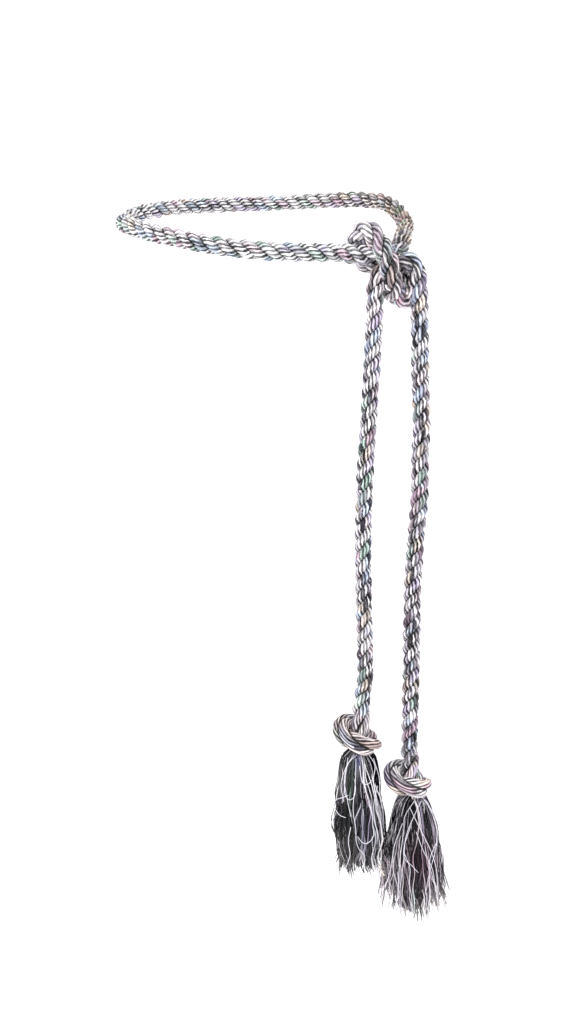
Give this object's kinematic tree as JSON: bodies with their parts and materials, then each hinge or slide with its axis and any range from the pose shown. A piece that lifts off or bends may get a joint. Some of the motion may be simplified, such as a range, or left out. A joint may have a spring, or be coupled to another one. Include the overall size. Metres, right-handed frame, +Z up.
{
  "type": "rope belt",
  "caption": "Soft twisted rope belt tied at the hip, its long hanging ends finished with overhand knots and thread tassels.",
  "frame": {"origin": "middle of the waist loop", "axes": "+Z up, -Y to the front of the wearer, +X to the wearer's left, the side of the knot"},
  "size_m": [0.3461, 0.2327, 0.7655],
  "materials": {
    "rope": "soft space-dyed yarn in white, greys and black with pale tints",
    "tassel": "loose fine threads, mostly black and navy with white and grey ones"
  },
  "bodies": {
    "root": {"waist_rope": "rope", "waist_knot": "rope", "tail_left": "rope", "tail_right": "rope", "end_knot_left": "rope", "end_knot_right": "rope", "tassel_left": "tassel", "tassel_right": "tassel"}
  },
  "joints": []
}
